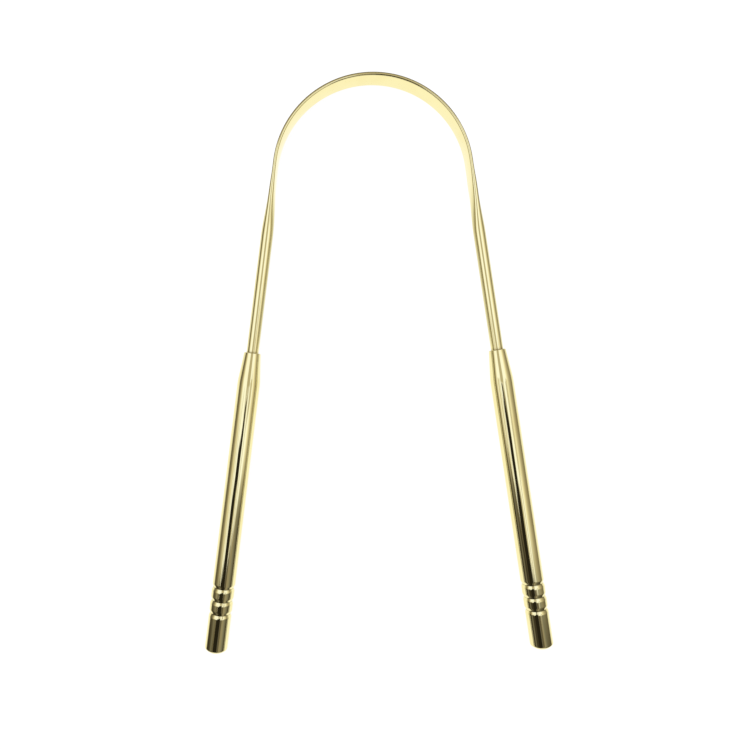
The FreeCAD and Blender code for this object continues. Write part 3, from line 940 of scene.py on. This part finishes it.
# %% [markdown]
# ## The cards over the work
#
# No light comes from where the camera stands, so a mirror that faces it is dark. Black cards hang there and
# draw the fine black line down the back of each handle. Higher up, more dark cards shade the near end of
# the handles, and paler strips draw the faint bands along their flanks. One pale card lies over the legs
# and the arch. A card that both handles mirror hangs at the height where its two reflections agree.
#
# Each card is measured in millimetres, across and along from the camera and up from the table. Its edges
# are soft, so that cards can lie over each other like layers of thin cloth. They are listed from the lowest
# up, and a lower one covers those above it.

# %% Sizes and shades of the cards
FAR = 1800
WIDE = 900
CARDS = {
    "camera_tip_card": {"z": 162, "x": (-28, 2), "y": (-45, -15), "soft": 4, "level": 0.03},
    "pale_card": {"z": 163, "x": (-44, 38), "y": (-14, WIDE), "soft": 11, "level": 0.52},
    "near_left_card": {"z": 164, "x": (-700, -116), "y": (-140, -103), "soft": 9, "level": 0.17},
    "camera_card": {"z": 200, "x": (-36, 7), "y": (-135, -31), "soft": 6, "level": 0.02},
    "camera_edge_card": {"z": 201, "x": (-72, -28), "y": (-135, -36), "soft": 6, "level": 0.02},
    "camera_side_card": {"z": 202, "x": (0, 30), "y": (-74, -36), "soft": 6, "level": 0.03},
    "dim_card": {"z": 203, "x": (-10, 32), "y": (-50, -17), "soft": 6, "level": 0.30},
    "dark_strip": {"z": 296, "x": (-60, 22), "y": (-150, -92), "soft": 9, "level": 0.03},
    "grey_card": {"z": 298, "x": (18, 78), "y": (-150, -92), "soft": 10, "level": 0.58},
    "black_card": {"z": 300, "x": (-185, 32), "y": (-FAR, -138), "soft": 12, "level": 0.02},
    "small_black_card": {"z": 303, "x": (-126, -55), "y": (-150, -78), "soft": 12, "level": 0.03},
    "near_middle_card": {"z": 306, "x": (26, 130), "y": (-FAR, -157), "soft": 18, "level": 0.13},
    "low_left_card": {"z": 309, "x": (-WIDE, -150), "y": (-FAR, -235), "soft": 30, "level": 0.05},
    "far_left_card": {"z": 312, "x": (-WIDE, -150), "y": (-FAR, -178), "soft": 20, "level": 0.12},
    "near_right_card": {"z": 315, "x": (110, WIDE), "y": (-FAR, -172), "soft": 30, "level": 0.32},
    "left_strip": {"z": 318, "x": (-205, -180), "y": (-150, 10), "soft": 8, "level": 0.62},
    "right_strip": {"z": 321, "x": (132, 160), "y": (-190, 10), "soft": 8, "level": 0.55},
    "right_broad_strip": {"z": 324, "x": (165, 270), "y": (-75, 40), "soft": 14, "level": 0.62},
    "left_broad_strip": {"z": 327, "x": (-430, -262), "y": (-200, 0), "soft": 20, "level": 0.72},
}
card_heights = [card["z"] for card in CARDS.values()]
print(len(CARDS), "cards between", min(card_heights), "and", max(card_heights), "mm over the table")

# %% Hang the cards over the table
def cover(value, first, last, soft):
    """1 between the two edges of a card and 0 outside, with soft edges."""
    return eased(value, first - soft, first + soft) * (1 - eased(value, last - soft, last + soft))


def card_paint(name, card):
    """Plain shade that fades out at the edges of the card."""
    material, start = start_material(f"{name}_paint")
    spot = place_in_object(start)
    across_share = cover(spot / MM, *card["x"], card["soft"])
    along_share = cover(spot.also("Y") / MM, *card["y"], card["soft"])
    clear = start.node("ShaderNodeBsdfTransparent")
    dark = start.node("ShaderNodeEmission", None, {"Color": room_shade(card["level"]), "Strength": 1.0})
    faded = start.node("ShaderNodeMixShader", None, {0: across_share * along_share, 1: clear, 2: dark})
    finish_with(material.node_tree, faded, "Material Output")
    return material


for name, card in CARDS.items():
    corners = []
    for across, up in ((0, 0), (1, 0), (1, 1), (0, 1)):
        corner_x = card["x"][across] + (2 * across - 1) * card["soft"]
        corner_y = card["y"][up] + (2 * up - 1) * card["soft"]
        corners.append((corner_x * MM, corner_y * MM, 0.0))
    hung = stage_mesh(name, corners, card_paint(name, card))
    hung.location = (camera.location.x, camera.location.y, card["z"] * MM)
    mirrored_only(hung)
    print(name, "hangs at", card["z"], "mm")

# %% [markdown]
# ## The lamp
#
# One broad lamp, high to the left, gives the shadow its direction. It is kept out of the reflections,
# because the white overhead already stands there.

# %% Broad soft lamp
LAMP_SIDE = 0.7
LAMP_PLACE = (-0.35, 0.25, 0.9)
LAMP_POWER = 9.0

lamp = bpy.data.lights.new("broad_lamp", "AREA")
lamp.size = LAMP_SIDE
lamp.energy = LAMP_POWER
lamp_stand = bpy.data.objects.new("broad_lamp", lamp)
lamp_stand.location = LAMP_PLACE
lamp_stand.rotation_euler = (-Vector(LAMP_PLACE)).to_track_quat("-Z", "Y").to_euler()
lamp_stand.visible_glossy = False
bpy.context.scene.collection.objects.link(lamp_stand)
bpy.context.scene.view_settings.view_transform = "Standard"
print("lamp", LAMP_SIDE, "m wide,", LAMP_POWER, "W")

# %% [markdown]
# ## Sizes of both boxes, and finish
#
# The dressed scraper must fill the same box as the CAD model, so the sizes of both boxes are printed.

# %% Print the sizes of both boxes, and finish
import json

boxes = {"cad": cad_box, "visual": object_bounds()}
plain = {name: [list(corner) for corner in box] for name, box in boxes.items()}
for name, (low, high) in plain.items():
    print(name, [round((top - bottom) / MM, 3) for bottom, top in zip(low, high)], "mm")
